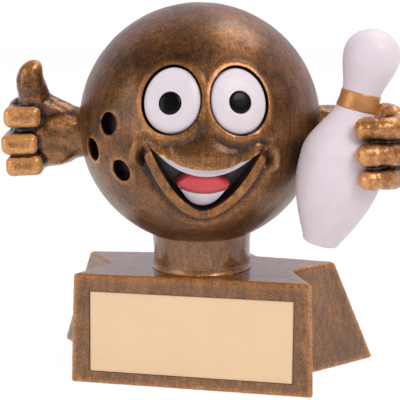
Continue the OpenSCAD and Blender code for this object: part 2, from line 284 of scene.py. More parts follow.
def wear_marks(obj, fine=3, broad=25, gain=1.0, name="wear_and_shade"):
    """Mark ridges above 0.5 and hollows below it. The piece is still in millimetres."""
    mesh = obj.data
    spots = points(obj)
    normals = np.empty(spots.size)
    mesh.vertices.foreach_get("normal", normals)
    normals = normals.reshape(-1, 3)
    edges = np.empty(len(mesh.edges) * 2, dtype=np.int64)
    mesh.edges.foreach_get("vertices", edges)
    edges = edges.reshape(-1, 2)
    along = spots[edges[:, 1]] - spots[edges[:, 0]]
    length = np.maximum((along ** 2).sum(1), 1e-6)
    bend = ((normals[edges[:, 1]] - normals[edges[:, 0]]) * along).sum(1) / length
    here, there = edges.T
    size = len(spots)
    total = np.bincount(here, bend, size) + np.bincount(there, bend, size)
    bend = total / np.maximum(np.bincount(edges.ravel(), minlength=size), 1)
    near = spread(bend, edges, fine)
    wide = spread(near, edges, broad)
    mark(obj, name, np.clip(0.5 + gain * (0.30 * np.tanh(1.6 * near) + 0.45 * np.tanh(2.2 * wide)), 0, 1))

# %% [markdown]
# ## Studio
#
# The trophy stands on a white sweep. The camera sees the sweep as white, and so do glossy
# reflections, while only a little of the floor's shading is left for the soft shadow.
# Three large, soft lamps light the object at a plain level.

# %% Helper: nodes of a material, written as short calls
def add_node(tree, kind, inputs=None, **settings):
    """Add a shader node, set its properties, and link or set its inputs."""
    made = tree.nodes.new(kind)
    for key, value in settings.items():
        setattr(made, key, value)
    for key, value in (inputs or {}).items():
        if isinstance(value, bpy.types.NodeSocket):
            tree.links.new(value, made.inputs[key])
        else:
            made.inputs[key].default_value = value
    return made


def srgb(red, green, blue):
    """A colour as painters mix it, 0 to 255, turned into the renderer's linear numbers."""
    def linear(c):
        c = c / 255
        return c / 12.92 if c <= 0.04045 else ((c + 0.055) / 1.055) ** 2.4
    return (linear(red), linear(green), linear(blue), 1.0)


# %% World, floor and lamps
scene = bpy.context.scene
scene.view_settings.view_transform = "Standard"

world = bpy.data.worlds.new("studio")
scene.world = world
world.use_nodes = True
tree = world.node_tree
tree.nodes.clear()
path = add_node(tree, "ShaderNodeLightPath")
seen = add_node(tree, "ShaderNodeMath", {0: path.outputs["Is Camera Ray"],
                                         1: path.outputs["Is Transmission Ray"]}, operation="MAXIMUM")
ambient = add_node(tree, "ShaderNodeBackground", {"Color": (1.0, 0.96, 0.98, 1), "Strength": 0.46})
place = add_node(tree, "ShaderNodeTexCoord")
apart = add_node(tree, "ShaderNodeSeparateXYZ", {0: place.outputs["Generated"]})
backwards = add_node(tree, "ShaderNodeMapRange", {"Value": apart.outputs["Y"], "From Min": 0.0,
                                                  "From Max": 0.62, "To Min": 0.07, "To Max": 0.90},
                     interpolation_type="SMOOTHSTEP")
mirror_room = add_node(tree, "ShaderNodeBackground", {"Color": (0.95, 0.88, 0.97, 1),
                                                      "Strength": backwards.outputs[0]})
backdrop = add_node(tree, "ShaderNodeBackground", {"Color": (1, 1, 1, 1), "Strength": 1.0})
lit = add_node(tree, "ShaderNodeMixShader", {0: path.outputs["Is Glossy Ray"], 1: ambient.outputs[0],
                                             2: mirror_room.outputs[0]})
shown = add_node(tree, "ShaderNodeMixShader", {0: seen.outputs[0], 1: lit.outputs[0],
                                               2: backdrop.outputs[0]})
add_node(tree, "ShaderNodeOutputWorld", {"Surface": shown.outputs[0]})

bpy.ops.object.select_all(action="DESELECT")
bpy.ops.mesh.primitive_plane_add(size=6, location=(0, 0, 0))
floor = new_piece("floor")
floor_paint = bpy.data.materials.new("white sweep")
floor_paint.use_nodes = True
tree = floor_paint.node_tree
tree.nodes.clear()
path = add_node(tree, "ShaderNodeLightPath")
matte = add_node(tree, "ShaderNodeBsdfDiffuse", {"Color": (0.86, 0.84, 0.85, 1)})
glow = add_node(tree, "ShaderNodeEmission", {"Color": (1, 1, 1, 1), "Strength": 1.075})
seen = add_node(tree, "ShaderNodeMath", {0: path.outputs["Is Camera Ray"],
                                         1: path.outputs["Is Glossy Ray"]}, operation="MAXIMUM")
share = add_node(tree, "ShaderNodeMath", {0: seen.outputs[0], 1: 0.88}, operation="MULTIPLY")
blend = add_node(tree, "ShaderNodeMixShader", {0: share.outputs[0], 1: matte.outputs[0],
                                               2: glow.outputs[0]})
add_node(tree, "ShaderNodeOutputMaterial", {"Surface": blend.outputs[0]})
floor.data.materials.append(floor_paint)


def lamp(name, place, size, power, colour=(1, 1, 1)):
    """A round soft lamp that looks at the trophy."""
    data = bpy.data.lights.new(name, "AREA")
    data.shape = "DISK"
    data.size = size
    data.energy = power
    data.color = colour
    obj = bpy.data.objects.new(name, data)
    obj.location = place
    obj.rotation_euler = (Vector((0, 0, 0.05)) - Vector(place)).to_track_quat("-Z", "Y").to_euler()
    scene.collection.objects.link(obj)
    return obj


lamp("key lamp", (0.50, -0.42, 0.62), 0.45, 4.0, (1, 0.98, 0.96))
lamp("fill lamp", (-0.60, -0.50, 0.30), 0.60, 2.2)
lamp("top lamp", (0.24, 0.30, 0.78), 0.42, 2.0, (1, 0.93, 0.84))

# %% [markdown]
# ## Bronze paint
#
# Three layers are painted on the real casting: a near-black brown over all, bronze rubbed
# on with a dry brush, and bright gold on the ridges. The wear marks choose the layer (on the
# hands they also carry painted light and shade), and three noises break it up: soft
# blotches, upright brush streaks, and fine specks. The lacquer over it is the shader's coat.
# All patterns read Object coordinates.

# %% Material: bronze
def principled(name, roughness, coat=0.0, coat_roughness=0.1, metallic=0.0, specular=0.5):
    """A material with one shader; what is the same all over is set on its own sockets."""
    paint = bpy.data.materials.new(name)
    paint.use_nodes = True
    shader = paint.node_tree.nodes["Principled BSDF"]
    shader.inputs["Roughness"].default_value = roughness
    shader.inputs["Metallic"].default_value = metallic
    shader.inputs["Coat Weight"].default_value = coat
    shader.inputs["Coat Roughness"].default_value = coat_roughness
    shader.inputs["Specular IOR Level"].default_value = specular
    return paint, paint.node_tree, shader


def grain(tree, scale, detail=3.0, stretch=(1, 1, 1), turn=(0, 0, 0), shift=(0, 0, 0)):
    """Noise on Object coordinates; the scale is in features per metre."""
    place = add_node(tree, "ShaderNodeTexCoord")
    bent = add_node(tree, "ShaderNodeMapping", {"Vector": place.outputs["Object"], "Scale": stretch,
                                                "Rotation": turn, "Location": shift})
    made = add_node(tree, "ShaderNodeTexNoise", {"Vector": bent.outputs[0], "Scale": scale,
                                                 "Detail": detail, "Roughness": 0.6})
    return made.outputs["Fac"]


def sums(tree, start, *terms):
    """start + weight * (value - 0.5) for each (value, weight) term."""
    total = start
    for value, weight in terms:
        centred = add_node(tree, "ShaderNodeMath", {0: value, 1: 0.5}, operation="SUBTRACT")
        total = add_node(tree, "ShaderNodeMath", {0: centred.outputs[0], 1: weight, 2: total},
                         operation="MULTIPLY_ADD").outputs[0]
    return total


def ramp(tree, value, *stops):
    """A colour ramp from (place, colour) stops."""
    made = add_node(tree, "ShaderNodeValToRGB", {"Fac": value})
    band = made.color_ramp
    while len(band.elements) < len(stops):
        band.elements.new(1.0)
    for element, (place, colour) in zip(band.elements, stops):
        element.position = place
        element.color = colour
    return made.outputs["Color"]


def bronze(name, base, wear_and_shade, blotch, streaks, specks, colours, roughness=0.42, coat=0.7,
           coat_roughness=0.16, metallic=0.25, bump=0.25, strokes=(1, 1, 0.16)):
    """Rubbed bronze: base level, then how much each pattern lifts or lowers it."""
    paint, tree, shader = principled(name, roughness, coat, coat_roughness, metallic)
    marks = add_node(tree, "ShaderNodeAttribute", attribute_name="wear_and_shade").outputs["Fac"]
    soft = grain(tree, 130, 4)
    brushed = grain(tree, 900, 3, stretch=strokes)
    fine = grain(tree, 2400, 2)
    level = sums(tree, base, (marks, wear_and_shade), (soft, blotch), (brushed, streaks), (fine, specks))
    tree.links.new(ramp(tree, level, *colours), shader.inputs["Base Color"])
    height = sums(tree, 0.5, (brushed, 0.6), (fine, 0.8))
    rough = add_node(tree, "ShaderNodeBump", {"Height": height, "Strength": bump, "Distance": 0.0002})
    tree.links.new(rough.outputs[0], shader.inputs["Normal"])
    return paint


DARK_TO_GOLD = ((0.0, srgb(26, 16, 16)), (0.26, srgb(66, 40, 22)), (0.50, srgb(116, 74, 34)),
                (0.76, srgb(166, 108, 56)), (1.0, srgb(216, 156, 92)))
ball_bronze = bronze("ball bronze", 0.42, 0.80, 0.70, 0.45, 0.80, DARK_TO_GOLD, coat=0.30,
                     coat_roughness=0.22, metallic=0.6, roughness=0.40)
hand_bronze = bronze("hand bronze", 0.50, 0.90, 0.55, 0.20, 0.80, DARK_TO_GOLD, coat=0.4,
                     metallic=0.35, roughness=0.36)
base_bronze = bronze("base bronze", 0.53, 0.50, 0.40, 0.45, 0.80, DARK_TO_GOLD, coat=0.8,
                     coat_roughness=0.09, bump=0.12, strokes=(1, 1, 0.3))
print("bronzes:", ball_bronze.name, hand_bronze.name, base_bronze.name)


# %% Materials: enamel, gold, felt, steel
def enamel(name, colour, shade, roughness, coat=0.6, specular=0.5):
    """Brushed-on enamel: nearly one colour, a little uneven, under a clear gloss."""
    paint, tree, shader = principled(name, roughness, coat, 0.06, specular=specular)
    level = sums(tree, 0.5, (grain(tree, 220, 3), 0.9), (grain(tree, 1500, 2), 0.3))
    tree.links.new(ramp(tree, level, (0.2, shade), (0.8, colour)), shader.inputs["Base Color"])
    soft = add_node(tree, "ShaderNodeBump", {"Height": grain(tree, 420, 2), "Strength": 0.12,
                                             "Distance": 0.0003})
    tree.links.new(soft.outputs[0], shader.inputs["Normal"])
    return paint


white_enamel = enamel("white enamel", srgb(221, 213, 219), srgb(210, 200, 209), 0.42, 0.12, 0.3)
tongue_enamel = enamel("tongue enamel", srgb(214, 72, 80), srgb(192, 56, 64), 0.36, 0.2)
black_enamel = enamel("black enamel", srgb(12, 8, 10), srgb(7, 5, 7), 0.35, 0.10, 0.12)
mouth_enamel = enamel("mouth enamel", srgb(46, 30, 30), srgb(22, 13, 13), 0.45, 0.3)
pin_enamel = enamel("pin enamel", srgb(224, 214, 221), srgb(214, 202, 211), 0.44, 0.08, 0.35)


def satin_metal(name, low, high, roughness, metallic, stretch, turn=(0, 0, 0)):
    """Metal with very fine straight brushing."""
    paint, tree, shader = principled(name, roughness, 0.0, 0.1, metallic)
    lines = grain(tree, 3000, 2, stretch=stretch, turn=turn)
    level = sums(tree, 0.5, (lines, 0.8), (grain(tree, 90, 2), 0.6))
    tree.links.new(ramp(tree, level, (0.2, low), (0.8, high)), shader.inputs["Base Color"])
    soft = add_node(tree, "ShaderNodeBump", {"Height": lines, "Strength": 0.08, "Distance": 0.0001})
    tree.links.new(soft.outputs[0], shader.inputs["Normal"])
    return paint


plate_gold = satin_metal("plate gold", srgb(235, 202, 163), srgb(241, 209, 170), 0.5, 0.15, (0.02, 1, 1))
band_gold = satin_metal("band gold", srgb(176, 116, 62), srgb(214, 156, 98), 0.34, 0.35, (1, 1, 1))
steel = satin_metal("drawn steel", srgb(120, 120, 124), srgb(160, 160, 166), 0.35, 1.0, (1, 1, 0.02))


def felt_cloth():
    """Pressed felt: a dark, dull mat of fibres."""
    paint, tree, shader = principled("felt", 0.95, specular=0.1)
    fibres = grain(tree, 4000, 4)
    tree.links.new(ramp(tree, fibres, (0.3, srgb(16, 20, 18)), (0.7, srgb(38, 46, 42))),
                   shader.inputs["Base Color"])
    nap = add_node(tree, "ShaderNodeBump", {"Height": fibres, "Strength": 0.5, "Distance": 0.0002})
    tree.links.new(nap.outputs[0], shader.inputs["Normal"])
    return paint


def foam_sheet():
    """The adhesive sheet behind the plate: pale foam with fine cells."""
    paint, tree, shader = principled("foam sheet", 0.8, specular=0.2)
    cells = grain(tree, 3000, 2)
    tree.links.new(ramp(tree, cells, (0.3, srgb(198, 196, 188)), (0.7, srgb(222, 220, 212))),
                   shader.inputs["Base Color"])
    return paint


felt = felt_cloth()
foam = foam_sheet()

for node, paint in (("felt_pad", felt), ("plate_adhesive", foam), ("centre_dowel", steel),
                    ("thumb_up_wrist_peg", steel), ("pin_hand_wrist_peg", steel), ("pin_peg", steel)):
    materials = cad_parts[node].data.materials
    materials.clear()
    materials.append(paint)
print("hidden pieces keep their frame shape: felt, foam sheet, dowel and pegs")

# %% [markdown]
# ## Plinth
#
# The plinth is one casting: a block at the front for the plate, and a star behind it whose
# points flare out towards the foot. A nine-sided ring becomes the star's plan, is extruded
# up once, and its upper ring is moved to the smaller plan of the top. A bevel rounds the
# edges as the mould did, and a fine remesh gives the skin enough points to take small
# casting dents. The plate's recess and the neck's seat are cut last, so they stay crisp.

# %% Plinth: plan, flare, skin
BLOCK_FOOT, BLOCK_TOP = 30.9, 30.2
BLOCK_FRONT = 16.6
FACE_LEAN = math.radians(3.5)
EDGE = 0.75
base_low, base_high = mm_box("star_base")
BASE_TOP = base_high.z
FOOT_Z = 0.05
STAR_TOP, STAR_FOOT = 35.2, 47.4
TIP_TOP, TIP_FOOT = math.radians(17.2), math.radians(21.3)


def star_plan(front, notch, tip_radius, tip_angle, rear, back):
    """The right half of a plan and its mirror image, in order round the outline."""
    tip = (tip_radius * math.cos(tip_angle), tip_radius * math.sin(tip_angle))
    right = [front, notch, tip, rear]
    return right + [back] + [(-x, y) for x, y in reversed(right)]


lean_back = BASE_TOP * math.tan(FACE_LEAN)
foot_plan = star_plan((BLOCK_FOOT, -BLOCK_FRONT), (0.575 * STAR_FOOT, -0.5), STAR_FOOT, TIP_FOOT,
                      (0.33 * STAR_FOOT, 0.37 * STAR_FOOT), (0, 0.95 * STAR_FOOT))
top_plan = star_plan((BLOCK_TOP, -BLOCK_FRONT + lean_back), (0.68 * STAR_TOP, -1.9), STAR_TOP, TIP_TOP,
                     (0.36 * STAR_TOP, 0.37 * STAR_TOP), (0, 0.95 * STAR_TOP))

bpy.ops.object.select_all(action="DESELECT")
bpy.ops.mesh.primitive_circle_add(vertices=9, radius=30, fill_type="NGON")
plinth = new_piece("plinth")
for vertex, spot in zip(plinth.data.vertices, foot_plan):
    vertex.co = (spot[0], spot[1], FOOT_Z)
bpy.ops.object.mode_set(mode="EDIT")
bpy.ops.mesh.select_all(action="SELECT")
bpy.ops.mesh.extrude_region_move(TRANSFORM_OT_translate={"value": (0, 0, BASE_TOP - FOOT_Z)})
bpy.ops.object.mode_set(mode="OBJECT")
upper = sorted((v for v in plinth.data.vertices if v.co.z > BASE_TOP - 1), key=lambda v: v.index)
for vertex in upper:
    nearest = min(range(9), key=lambda k: (foot_plan[k][0] - vertex.co.x) ** 2
                  + (foot_plan[k][1] - vertex.co.y) ** 2)
    vertex.co = (top_plan[nearest][0], top_plan[nearest][1], BASE_TOP)
outward(plinth)
modify(plinth, "BEVEL", width=EDGE, segments=4, limit_method="ANGLE", angle_limit=math.radians(25))
modify(plinth, "REMESH", mode="VOXEL", voxel_size=0.38)
modify(plinth, "SMOOTH", factor=0.5, iterations=2)


def dented(obj, depth, size, seed=0.0):
    """Small dents of the mould, pushed along the normals."""
    spots = points(obj)
    normals = np.empty(spots.size)
    obj.data.vertices.foreach_get("normal", normals)
    push = np.array([noise.fractal(Vector(p) / size + Vector((seed, 0, 0)), 1.0, 2.0, 3) for p in spots])
    set_points(obj, spots + depth * push[:, None] * normals.reshape(-1, 3))
    return obj


dented(plinth, 0.035, 3.0)
wear_marks(plinth, fine=1, broad=6)

plate_low, plate_high = mm_box("engraving_plate")
plate_middle = (plate_low + plate_high) / 2
PLATE_W, PLATE_H = 51.3, 20.4
recess_cutter = block((PLATE_W + 0.08, PLATE_H + 0.08, 4), (0, 0, 0), rounding=0.02)
recess_cutter.rotation_euler = (math.pi / 2 - FACE_LEAN, 0, 0)
face_out = Vector((0, -math.cos(FACE_LEAN), math.sin(FACE_LEAN)))
RECESS = 0.95
PLATE_PROUD = 0.2
face_middle = plate_middle + face_out * (PLATE_PROUD + 0.25)
recess_cutter.location = face_middle + face_out * (2 - RECESS)
neck_low, neck_high = mm_box("neck")
NECK_SINK = BASE_TOP - neck_low.z
seat_cutter = turned("seat", [(12.54, BASE_TOP - NECK_SINK), (12.54, BASE_TOP + 3)])
carve(plinth, recess_cutter, seat_cutter)
finish_piece(plinth, base_bronze, "antique_bronze", "star_base")

# %% [markdown]
# ## Plate
#
# A thin sheet, sheared square. Its edges are barely broken by a bevel, and the face is
# left bare for engraving.

# %% Plate
PLATE_T = 0.5
plate = block((PLATE_W, PLATE_H, PLATE_T), (0, 0, 0), rounding=0.08)
plate.rotation_euler = (math.pi / 2 - FACE_LEAN, 0, 0)
plate.location = plate_middle
plate = join("plate", [plate])
finish_piece(plate, plate_gold, "satin_gold", "engraving_plate")

# %% [markdown]
# ## Neck
#
# A short turned collar, a little waisted, with a thin bead at the foot where the glue line
# was filled.

# %% Neck
NECK_FOOT_R, NECK_TOP_R = 12.44, 12.98
NECK_WAIST = 0.25
neck_rise = neck_high.z - BASE_TOP
neck_profile = [(NECK_FOOT_R, neck_low.z), (NECK_FOOT_R, BASE_TOP - 0.1), (NECK_FOOT_R + 0.35, BASE_TOP + 0.02),
                (NECK_FOOT_R + 0.42, BASE_TOP + 0.25), (NECK_FOOT_R + 0.2, BASE_TOP + 0.55)]
for step in range(1, 15):
    t = step / 14
    radius = NECK_FOOT_R + (NECK_TOP_R - NECK_FOOT_R) * t - NECK_WAIST * math.sin(math.pi * t)
    neck_profile.append((radius, BASE_TOP + 0.6 + (neck_rise - 0.6) * t))
neck = turned("neck_collar", neck_profile, segments=160)
dented(neck, 0.07, 2.5, 5.0)
wear_marks(neck, fine=1, broad=4)
finish_piece(neck, base_bronze, "antique_bronze", "neck")

# %% [markdown]
# ## Pin
#
# A bowling pin is pure lathe work. Its outline is four smooth stretches: foot to belly,
# belly to neck, neck to head, and the domed top. It is turned upright and then leaned into
# place through the gold band, whose middle lies on the pin's axis.

# %% Pin and its band
PIN_H = 50.9
PIN_FOOT_R, PIN_BELLY_R, PIN_NECK_R, PIN_HEAD_R = 3.9, 9.9, 4.3, 6.4
PIN_LEAN = math.radians(14.0)
BELLY_LOW, BELLY_HIGH, NECK_AT, HEAD_AT = 0.36 * PIN_H, 0.40 * PIN_H, 0.69 * PIN_H, 0.885 * PIN_H
BAND_H = 4.0
BAND_LOW = NECK_AT - 0.65 * BAND_H
PIN_ROUND = 1.0


def pin_radius(t):
    """The pin's radius at height t above its foot."""
    if t < BELLY_LOW:
        return PIN_FOOT_R + (PIN_BELLY_R - PIN_FOOT_R) * math.sin(math.pi / 2 * t / BELLY_LOW)
    if t < BELLY_HIGH:
        return PIN_BELLY_R
    if t < NECK_AT:
        share = (1 + math.cos(math.pi * (t - BELLY_HIGH) / (NECK_AT - BELLY_HIGH))) / 2
        return PIN_NECK_R + (PIN_BELLY_R - PIN_NECK_R) * share
    if t < HEAD_AT:
        share = (1 - math.cos(math.pi * (t - NECK_AT) / (HEAD_AT - NECK_AT))) / 2
        return PIN_NECK_R + (PIN_HEAD_R - PIN_NECK_R) * share
    return PIN_HEAD_R * math.sqrt(max(0.0, 1 - ((t - HEAD_AT) / (PIN_H - HEAD_AT)) ** 2))


band_low, band_high = mm_box("pin_neck_band")
band_middle = (band_low + band_high) / 2
pin_axis = Vector((math.sin(PIN_LEAN), 0, math.cos(PIN_LEAN)))
pin_foot = band_middle - pin_axis * (BAND_LOW + BAND_H / 2)
pin_place = Matrix.Translation(pin_foot) @ Matrix.Rotation(PIN_LEAN, 4, "Y")

profile = [(0.4, 0.0), (PIN_FOOT_R - PIN_ROUND, 0.0)]
for step in range(1, 6):
    angle = math.pi / 2 * step / 5
    profile.append((pin_radius(PIN_ROUND) - PIN_ROUND * (1 - math.sin(angle)), PIN_ROUND * (1 - math.cos(angle))))
heights = np.linspace(PIN_ROUND + 0.7, HEAD_AT, 60)
profile += [(pin_radius(t), t) for t in heights]
for step in range(1, 16):
    angle = math.pi / 2 * step / 15.4
    profile.append((PIN_HEAD_R * math.cos(angle), HEAD_AT + (PIN_H - HEAD_AT) * math.sin(angle)))
pin_outline = profile
pin = turned("pin", pin_outline, segments=128)
pin.data.transform(pin_place)

BAND_OUT = PIN_NECK_R + 0.28
band_profile = [(PIN_NECK_R - 0.3, 0.0)]
for step in range(25):
    t = step / 24
    edge = min(t, 1 - t) * BAND_H
    lift = 0.28 * min(1.0, math.sqrt(edge / 0.35))
    band_profile.append((pin_radius(BAND_LOW + BAND_H * t) + lift, 0.02 + BAND_H * t))
band_profile.append((PIN_NECK_R - 0.3, BAND_H + 0.02))
band = turned("pin_band", band_profile, segments=128)
band.data.transform(pin_place @ Matrix.Translation((0, 0, BAND_LOW)))
finish_piece(pin, pin_enamel, "pin_white", "pin_body")
finish_piece(band, band_gold, "band_gold", "pin_neck_band")

# %% [markdown]
# ## Ball with its face
#
# The ball starts as a cube, cut fine and cast to a sphere, which gives even squares with no
# crowded poles. The face gets one more cut. Then every point is pushed in or out along its
# own radius by a small relief: rims round the eyes, cheeks and creases, the upper lip, the
# ridge of the lower lip. Pushing along the radius keeps the skin whole and lets the relief
# be written as a few lines drawn on the face, each with a height and a width. Sockets,
# mouth and finger holes are cut last with closed shapes, so their edges stay crisp.

# %% Ball: places on the face
BALL_R = 30.08
BALL_AT = Vector((0, -1.8, 64.93))
FACE_TURN = 14.0
EYE_HW, EYE_HH = 7.0, 8.1
EYE_PLACES = ((-1.2, 16.5), (30.0, 15.9))
MOUTH_PLACE = (FACE_TURN, -18.0, -2.6)
HOLE_PLACES = ((-33, 4.6), (-46.4, -8.1), (-27.3, -16.1))
HOLE_R, HOLE_DEEP = 2.7, 2.2
MOUTH_HW = 12.8


def facing(azimuth, elevation, roll=0.0):
    """Rows for the right, up and outward directions at a place on the ball."""
    a, e = math.radians(azimuth), math.radians(elevation)
    out = Vector((math.sin(a) * math.cos(e), -math.cos(a) * math.cos(e), math.sin(e)))
    right = Matrix.Rotation(math.radians(roll), 3, out) @ Vector((math.cos(a), math.sin(a), 0))
    return np.array([right, out.cross(right), out])


def on_ball(azimuth, elevation, roll=0.0):
    """The matrix that carries a shape drawn round +Z to its place on the ball."""
    axes = facing(azimuth, elevation, roll)
    turned_to = Matrix([list(row) for row in axes.T]).to_4x4()
    return Matrix.Translation(BALL_AT) @ turned_to


def smooth_line(stations, count):
    """Points along a smooth curve through the stations."""
    rows = np.array(stations, dtype=float)
    made = []
    for w in np.linspace(0, len(rows) - 1, count):
        i = min(int(w), len(rows) - 2)
        t = w - i
        before, after = rows[max(i - 1, 0)], rows[min(i + 2, len(rows) - 1)]
        a, b = rows[i], rows[i + 1]
        made.append(0.5 * (2 * a + (b - before) * t + (2 * before - 5 * a + 4 * b - after) * t ** 2
                           + (3 * a - before - 3 * b + after) * t ** 3))
    return np.array(made)


def line_distance(spots, line):
    """Distance of many flat points from a line of short straight pieces."""
    best = np.full(len(spots), 1e9)
    for a, b in zip(line, line[1:]):
        run = b - a
        t = np.clip((spots - a) @ run / max(run @ run, 1e-9), 0, 1)
        best = np.minimum(best, np.linalg.norm(spots - a - t[:, None] * run, axis=1))
    return best


def upper_lip(x):
    """Height of the mouth's upper edge."""
    return 2.1 + 3.8 * (abs(x) / MOUTH_HW) ** 2


def lower_lip(x):
    """Height of the mouth's lower edge."""
    return -9.1 + 15.0 * (abs(x) / MOUTH_HW) ** 1.7


# one side of the face: line on the face, rise in millimetres, half width
FACE_LINES = (
    (((15.5, 7.7), (13.6, 8.9), (10.5, 9.4), (7.0, 9.2), (4.3, 9.8), (2.8, 11.0)), 0.45, 1.0),
    (((10.0, 7.0), (8.0, 6.9), (5.5, 7.4), (3.0, 8.6), (1.9, 10.0)), -0.45, 1.2),
    (((16.4, 1.4), (16.3, 3.8), (15.1, 5.8), (13.0, 6.9), (10.4, 7.0)), 0.85, 0.95),
    (((14.8, 2.0), (14.7, 3.3), (14.0, 4.5), (13.0, 5.2)), -1.20, 0.80),
    (((14.6, 2.6), (13.6, 0.0), (12.2, -3.2)), -0.45, 1.3),
)
lip_line = np.array([(x, lower_lip(x)) for x in np.linspace(0, 11.9, 30)])


def relief(directions):
    """Height of the modelled skin above the plain ball, for rows of directions."""
    x, y, ahead = facing(*MOUTH_PLACE) @ directions.T * BALL_R
    side = np.stack([np.abs(x), y], axis=1)
    height = 1.15 * np.exp(-(x / 8.5) ** 2 - ((y - 4.6) / 2.6) ** 2)
    for stations, rise, width in FACE_LINES:
        line = smooth_line(stations, 16)
        height += rise * np.exp(-(line_distance(side, line) / width) ** 2)
    away = line_distance(side, lip_line)
    under = np.clip((upper_lip(x) + 0.3 - y) / 0.7, 0, 1)
    height += 0.95 * np.exp(-(np.abs(away - 1.25) / 1.2) ** 3) * under
    height -= 0.60 * np.exp(-((away - 3.3) / 0.85) ** 2)
    height *= np.clip(ahead / 8, 0, 1)
    rims = np.zeros(len(directions))
    for place in EYE_PLACES:
        x, y, ahead = facing(*place) @ directions.T * BALL_R
        reach = np.hypot(x / EYE_HW, y / EYE_HH) + 1e-6
        away = (reach - 1) * np.hypot(x, y) / reach
        rims = np.maximum(rims, 0.20 * np.exp(-((away - 0.7) / 0.9) ** 2) * (ahead > 0))
    height += rims
    for place in HOLE_PLACES:
        x, y, ahead = facing(*place) @ directions.T * BALL_R
        away = np.hypot(x, y) - HOLE_R
        height += 0.14 * np.exp(-((away - 0.45) / 0.5) ** 2) * (ahead > 0)
    return height


# %% Ball: even squares, finer on the face, pushed by the relief
bpy.ops.object.select_all(action="DESELECT")
bpy.ops.mesh.primitive_cube_add(size=2)
ball = new_piece("ball")
bpy.ops.object.mode_set(mode="EDIT")
bpy.ops.mesh.select_all(action="SELECT")
bpy.ops.mesh.subdivide(number_cuts=76)
bpy.ops.transform.tosphere(value=1)
bpy.ops.object.mode_set(mode="OBJECT")
face_out = facing(FACE_TURN, -1.0)[2]
middles = np.empty(len(ball.data.polygons) * 3)
ball.data.polygons.foreach_get("center", middles)
middles = middles.reshape(-1, 3)
near_face = middles @ face_out > 0.74 * np.linalg.norm(middles, axis=1)
ball.data.polygons.foreach_set("select", near_face)
bpy.ops.object.mode_set(mode="EDIT")
bpy.ops.mesh.select_mode(type="FACE")
bpy.ops.mesh.subdivide(number_cuts=1)
bpy.ops.mesh.select_mode(type="VERT")
bpy.ops.object.mode_set(mode="OBJECT")
directions = points(ball)
directions = directions / np.linalg.norm(directions, axis=1)[:, None]
mould = np.array([noise.fractal(Vector(d) * 9, 1.0, 2.0, 4) for d in directions])
set_points(ball, directions * (BALL_R + relief(directions) + 0.05 * mould)[:, None])
ball.data.transform(Matrix.Translation(BALL_AT))
outward(ball)


def prism(outline, levels, place):
    """A closed column on a drawn outline, with a ring of points at every level."""
    bpy.ops.object.select_all(action="DESELECT")
    bpy.ops.mesh.primitive_circle_add(vertices=len(outline), radius=1, fill_type="NGON")
    obj = bpy.context.active_object
    for vertex, spot in zip(obj.data.vertices, outline):
        vertex.co = (spot[0], spot[1], levels[0])
    bpy.ops.object.mode_set(mode="EDIT")
    bpy.ops.mesh.select_all(action="SELECT")
    for low, high in zip(levels, levels[1:]):
        bpy.ops.mesh.extrude_region_move(TRANSFORM_OT_translate={"value": (0, 0, high - low)})
    bpy.ops.object.mode_set(mode="OBJECT")
    obj.data.transform(place)
    return outward(obj)


def oval(half_wide, half_high, count=72, egg=0.04):
    """An upright oval, a little narrower at the top."""
    angles = [math.tau * i / count for i in range(count)]
    return [(half_wide * math.cos(a) * (1 - egg * math.sin(a)), half_high * math.sin(a)) for a in angles]


def smile(grow=0.0, count=48):
    """The mouth's outline, larger by grow."""
    across = np.linspace(-1, 1, count)
    top = [(x * (MOUTH_HW + grow), upper_lip(x * MOUTH_HW) + grow) for x in across]
    bottom = [(x * (MOUTH_HW + grow), lower_lip(x * MOUTH_HW) - grow) for x in across[-2:0:-1]]
    return bottom[::-1] + top[::-1]


def rings(floor):
    """Levels from a socket's floor to beyond the ball, close together near the skin."""
    return [floor] + [BALL_R + z for z in (-2.1, -1.6, -1.2, -0.8, -0.4, 0.0, 0.5, 3.0)]


cutters = [prism(smile(), rings(BALL_R - 5.8), on_ball(*MOUTH_PLACE))]
for place in EYE_PLACES:
    cutters.append(prism(oval(EYE_HW + 0.05, EYE_HH + 0.05), rings(BALL_R - 3.6), on_ball(*place)))
for place in HOLE_PLACES:
    cutters.append(prism(oval(HOLE_R, HOLE_R, 48, 0.0), rings(BALL_R - HOLE_DEEP), on_ball(*place)))
NECK_END = neck_high.z
DOWEL_END = mm_box("centre_dowel")[1].z
cutters.append(turned("neck pocket", [(13.08, 30.0), (13.08, NECK_END)]))
cutters.append(turned("dowel hole", [(3.05, NECK_END - 1), (3.05, DOWEL_END + 0.2)], segments=32))
ARM_AT = Vector((0, BALL_AT.y, 63.21))
ARM_SEAT = 28.2
for arm_turn in (14, 194):
    outwards = Matrix.Translation(ARM_AT) @ Matrix.Rotation(math.radians(arm_turn), 4, "Z")
    outwards = outwards @ Matrix.Rotation(math.pi / 2, 4, "Y")
    cutters.append(prism(oval(6.4, 6.4, 64, 0.0), [ARM_SEAT, ARM_SEAT + 8], outwards))
    cutters.append(prism(oval(1.55, 1.55, 24, 0.0), [ARM_SEAT - 6.2, ARM_SEAT + 1], outwards))
carve(ball, *cutters)

# %% Ball: rubbed ridges, dark hollows
wear_marks(ball, fine=3, broad=12, gain=0.6)
spots = points(ball) - np.array(BALL_AT)
radii = np.linalg.norm(spots, axis=1)
directions = spots / radii[:, None]
below = np.clip((BALL_R + relief(directions) - radii - 0.12) / 0.5, 0, 1)
worn = np.empty(len(spots), dtype=np.float32)
ball.data.attributes["wear_and_shade"].data.foreach_get("value", worn)
mark(ball, "wear_and_shade", worn * (1 - below))
finish_piece(ball, ball_bronze, "antique_bronze", "ball_head", angle=35)

# %% [markdown]
# ## Eyes
#
# Each eye is a cushion: an oval disc turned in rings, whose face follows the ball and whose
# edge rolls down into the socket, leaving a thin dark line round it. The pupil is a smaller
# cushion set a little proud of the white.

# %% Eyes
BLACK_R = 2.65


